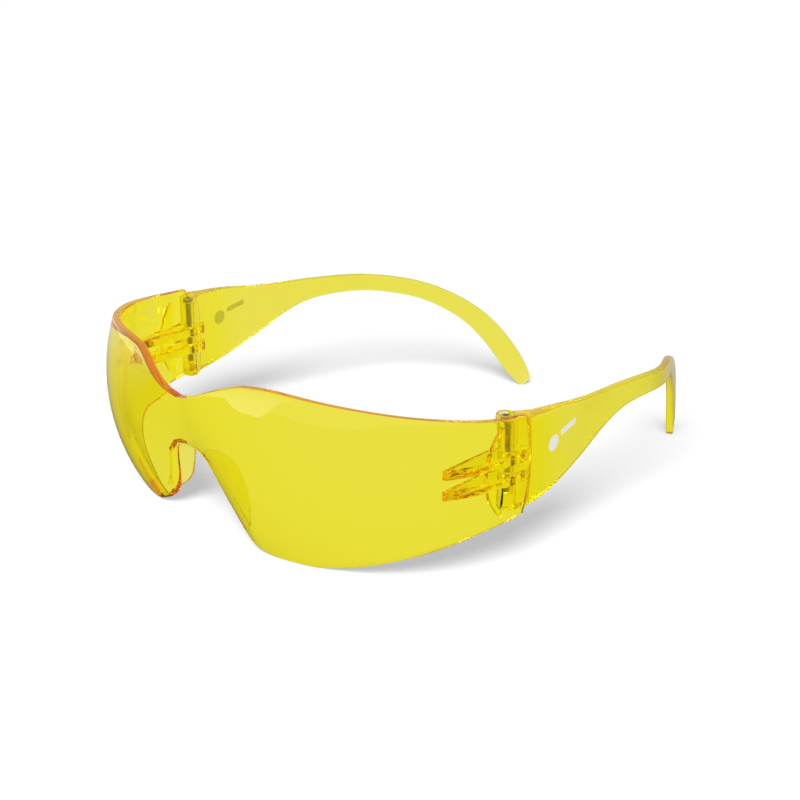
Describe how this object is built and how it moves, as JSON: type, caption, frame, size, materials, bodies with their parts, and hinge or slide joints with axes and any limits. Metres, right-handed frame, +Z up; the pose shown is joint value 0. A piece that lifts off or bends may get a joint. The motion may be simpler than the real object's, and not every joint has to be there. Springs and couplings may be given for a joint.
{
  "type": "safety glasses",
  "caption": "Wraparound safety glasses with a one-piece yellow lens, moulded nose pads and side arms that fold on pinned hinges.",
  "frame": {"origin": "bottom centre of the bounding box, on the surface that the open glasses stand on", "axes": "+Z up, -Y the front of the lens, +Y towards the temple tips, +X the wearer's left"},
  "size_m": [0.1412, 0.1746, 0.047],
  "materials": {
    "lens_clear_yellow": "polished, see-through",
    "temple_satin_yellow": "lightly frosted, see-through",
    "screw_steel": "satin"
  },
  "bodies": {
    "front": {"lens": "lens_clear_yellow"},
    "left_arm": {"left_temple": "temple_satin_yellow", "left_hinge_screw": "screw_steel"},
    "right_arm": {"right_temple": "temple_satin_yellow", "right_hinge_screw": "screw_steel"}
  },
  "joints": [
    {"name": "left_temple_fold", "type": "hinge", "parent": "front", "child": "left_arm", "pos_m": [0.0647, -0.03375, 0.03069], "axis": [0, -0.0645, 0.9979], "range_deg": [0, 85]},
    {"name": "right_temple_fold", "type": "hinge", "parent": "front", "child": "right_arm", "pos_m": [-0.0647, -0.03375, 0.03069], "axis": [0, 0.0645, -0.9979], "range_deg": [-3, 60]}
  ]
}
